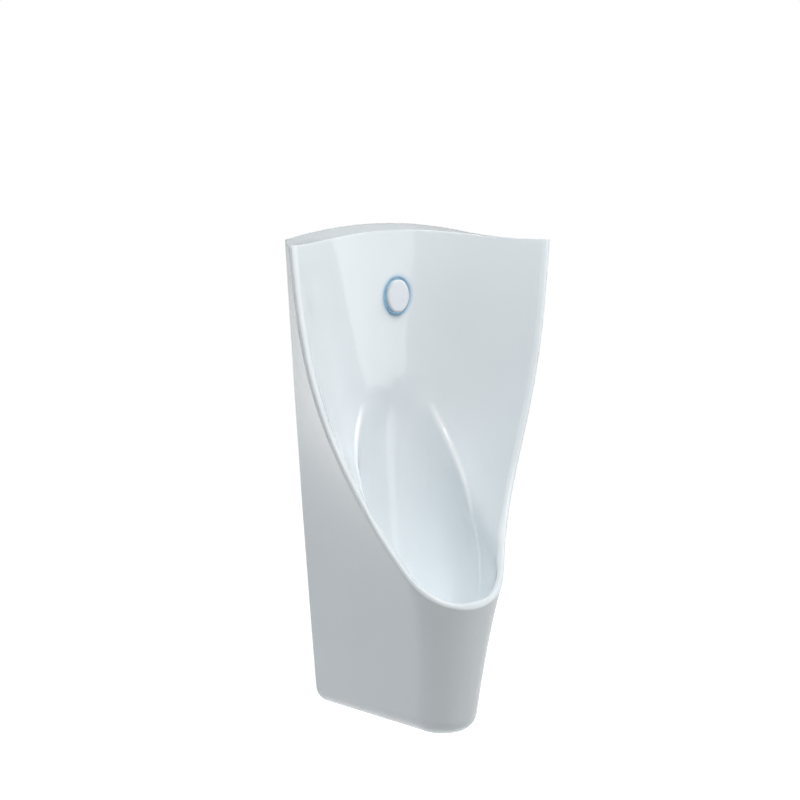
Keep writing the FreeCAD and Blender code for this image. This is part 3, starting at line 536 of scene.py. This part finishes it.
def fitting_finishes():
    """One finish for each material slot of the fittings."""
    return {
        "cap_plastic": plain_finish(
            "button_white", rgb(0.80, 0.83, 0.86), rgb(0.77, 0.80, 0.83), roughness=0.16, grain_size=0.004,
            depth=0.03, spread=0.05, edge=0.004),
        "housing_plastic": plain_finish(
            "housing_white", rgb(0.78, 0.80, 0.82), rgb(0.72, 0.74, 0.76), roughness=0.3, grain_size=0.002),
        "light_plastic": lit_ring("lit_ring"),
        "board": lamp_board("lamp_board"),
        "gasket_rubber": plain_finish(
            "gasket_black", rgb(0.035, 0.035, 0.037), rgb(0.02, 0.02, 0.02), roughness=0.65, grain_size=0.001,
            depth=0.3),
        "stainless": brushed_steel("brushed_stainless", rgb(0.64, 0.64, 0.63), rgb(0.53, 0.53, 0.53)),
        "spring_steel": plain_finish(
            "spring_wire", rgb(0.5, 0.5, 0.51), rgb(0.4, 0.4, 0.41), roughness=0.32, grain_size=0.001,
            metallic=1.0),
        "brass_body": threaded_brass("machined_brass"),
        "pipe_plastic": plain_finish(
            "pipe_grey", rgb(0.66, 0.67, 0.67), rgb(0.58, 0.59, 0.59), roughness=0.42, grain_size=0.002),
        "coil_plastic": plain_finish(
            "coil_black", rgb(0.03, 0.03, 0.033), rgb(0.018, 0.018, 0.02), roughness=0.45, grain_size=0.0012,
            depth=0.3),
        "box_plastic": plain_finish(
            "case_grey", rgb(0.10, 0.105, 0.115), rgb(0.075, 0.08, 0.088), roughness=0.5, grain_size=0.0012,
            depth=0.35),
        "waste_chrome": turned_metal(
            "bright_chrome", rgb(0.80, 0.81, 0.82), rgb(0.74, 0.75, 0.76), roughness=0.12,
            centre=DRAIN_CENTRE),
        "trap_plastic": plain_finish(
            "trap_white", rgb(0.80, 0.80, 0.79), rgb(0.74, 0.74, 0.73), roughness=0.28, grain_size=0.003),
    }


def dress_nodes():
    """Gives every node of the frame its finish."""
    finishes = fitting_finishes()
    finishes["china"] = glaze_material("white_glaze", edge=GLAZE_EDGE)
    slots = {entry["node"]: entry["material_slot"] for entry in frame["record"]["subparts"]}
    choice = {name: finishes[slot] for name, slot in slots.items()}
    choice["strainer"] = turned_metal(
        "turned_stainless", rgb(0.66, 0.66, 0.66), rgb(0.55, 0.55, 0.55), roughness=0.24, centre=DRAIN_CENTRE)
    choice["hanger_left"] = choice["hanger_right"] = zinc_plate("hanger_zinc")
    for name, node in frame["nodes"].items():
        node.data.materials.clear()
        node.data.materials.append(choice[name])


# Studio

def area_light(name, place, power, colour, size):
    """A soft rectangular lamp that faces the object."""
    data = bpy.data.lights.new(name, "AREA")
    data.shape = "RECTANGLE"
    data.size, data.size_y = size
    data.energy = power
    data.color = colour
    lamp = put(name, data)
    lamp.location = place
    lamp.rotation_euler = (LIGHT_TARGET - Vector(place)).to_track_quat("-Z", "Y").to_euler()
    lamp.visible_camera = False
    return lamp


def seen_directly(tree):
    """1 for what the camera sees, straight or in a mirror or glass, and 0 for the light on the object."""
    path = tree.add("ShaderNodeLightPath", out="Is Camera Ray")
    return (path + path.output("Is Glossy Ray") + path.output("Is Transmission Ray")).clamp()


def studio_light():
    """White surroundings that shed little light, softboxes, and a white card that shows only in the gloss."""
    world = bpy.data.worlds.new("studio")
    bpy.context.scene.world = world
    world.use_nodes = True
    tree = Wire(world.node_tree)
    tree.fill(world.node_tree.nodes["Background"], {
        "Color": rgb(1.0, 1.0, 1.0),
        "Strength": seen_directly(tree) * (1 - WORLD_LIGHT) + WORLD_LIGHT,
    })
    for lamp in LAMPS:
        area_light(*lamp, size=SOFTBOX_SIZE)
    reflector = area_light(*WHITE_CARD, size=WHITE_CARD_SIZE)
    reflector.visible_diffuse = False


def flat_piece(name, corners, material):
    """A flat face with four corners."""
    mesh = bpy.data.meshes.new(name)
    mesh.from_pydata(corners, [], [(0, 1, 2, 3)])
    mesh.materials.append(material)
    return put(name, mesh)


def floor_piece():
    """Plain pale floor that keeps the object's shadow."""
    material, tree, shader = new_material("pale_floor")
    place = place_on(tree)
    away = place.add("ShaderNodeVectorMath", {"operation": "LENGTH"}, {0: place}, out="Value")
    glow = seen_directly(tree) * (away.step(*FLOOR_GLOW_REACH) * (1 - FLOOR_NEAR_GLOW) + FLOOR_NEAR_GLOW)
    tone = noise(place, scale=3.0, detail=3.0)
    tree.fill(shader, {
        "Base Color": tone.blend(rgb(0.84, 0.84, 0.84), rgb(0.88, 0.88, 0.88)),
        "Roughness": 0.9,
        "Specular IOR Level": 0.0,
        "Emission Color": glow.blend(rgb(0.0, 0.0, 0.0), rgb(1.0, 1.0, 1.0)),
        "Emission Strength": 1.0,
    })
    half = FLOOR_HALF_WIDTH
    level = cad_box[0][2] - FLOOR_DROP
    corners = [(-half, -half, level), (half, -half, level), (half, half, level), (-half, half, level)]
    floor = flat_piece("floor", corners, material)


def grey_card():
    """Card behind the object, seen only in its gloss, that keeps the top apart from the white background."""
    material, tree, shader = new_material("grey_card")
    place = place_on(tree)
    tone = noise(place, scale=40.0, detail=3.0)
    tree.fill(shader, {
        "Base Color": tone.blend(rgb(0.76, 0.77, 0.78), rgb(0.80, 0.81, 0.82)),
        "Alpha": along(place, "Z").step(*GREY_CARD_FADE),
        "Roughness": 0.9,
    })
    x, z = GREY_CARD_HALF_SIZE
    card = flat_piece("grey_card", [(-x, 0.0, -z), (x, 0.0, -z), (x, 0.0, z), (-x, 0.0, z)], material)
    card.location = GREY_CARD_PLACE
    card.rotation_euler = (0.0, 0.0, GREY_CARD_TURN)
    card.visible_camera = False
    card.visible_diffuse = False
    card.visible_shadow = False


def photo_camera():
    """Camera at the photograph's viewpoint and framing."""
    data = bpy.data.cameras.new("photo_camera")
    data.sensor_width = SENSOR_WIDTH
    data.lens = FOCAL_PIXELS * SENSOR_WIDTH / PHOTO_PIXELS
    data.shift_x = (PHOTO_PIXELS / 2 - TARGET_PIXEL[0]) / PHOTO_PIXELS
    data.shift_y = (TARGET_PIXEL[1] - PHOTO_PIXELS / 2) / PHOTO_PIXELS
    camera = put("photo_camera", data)
    level = math.cos(VIEW_ELEVATION)
    toward = Vector((
        math.sin(VIEW_AZIMUTH) * level, -math.cos(VIEW_AZIMUTH) * level, math.sin(VIEW_ELEVATION)))
    camera.location = VIEW_TARGET + VIEW_DISTANCE * toward
    camera.rotation_euler = (-toward).to_track_quat("-Z", "Y").to_euler()
    bpy.context.scene.camera = camera


bpy.context.scene.view_settings.view_transform = "Standard"
dress_nodes()
ridge_glaze = glaze_material("ridge_glaze", edge=0.0)
ridge_piece("ridge_left", side=-1, material=ridge_glaze)
ridge_piece("ridge_right", side=1, material=ridge_glaze)
spring_piece("button_spring", axis=1, fixed_end=BUTTON_SPRING_END)
spring_piece("plunger_spring", axis=0, fixed_end=PLUNGER_SPRING_END)
studio_light()
floor_piece()
grey_card()
photo_camera()
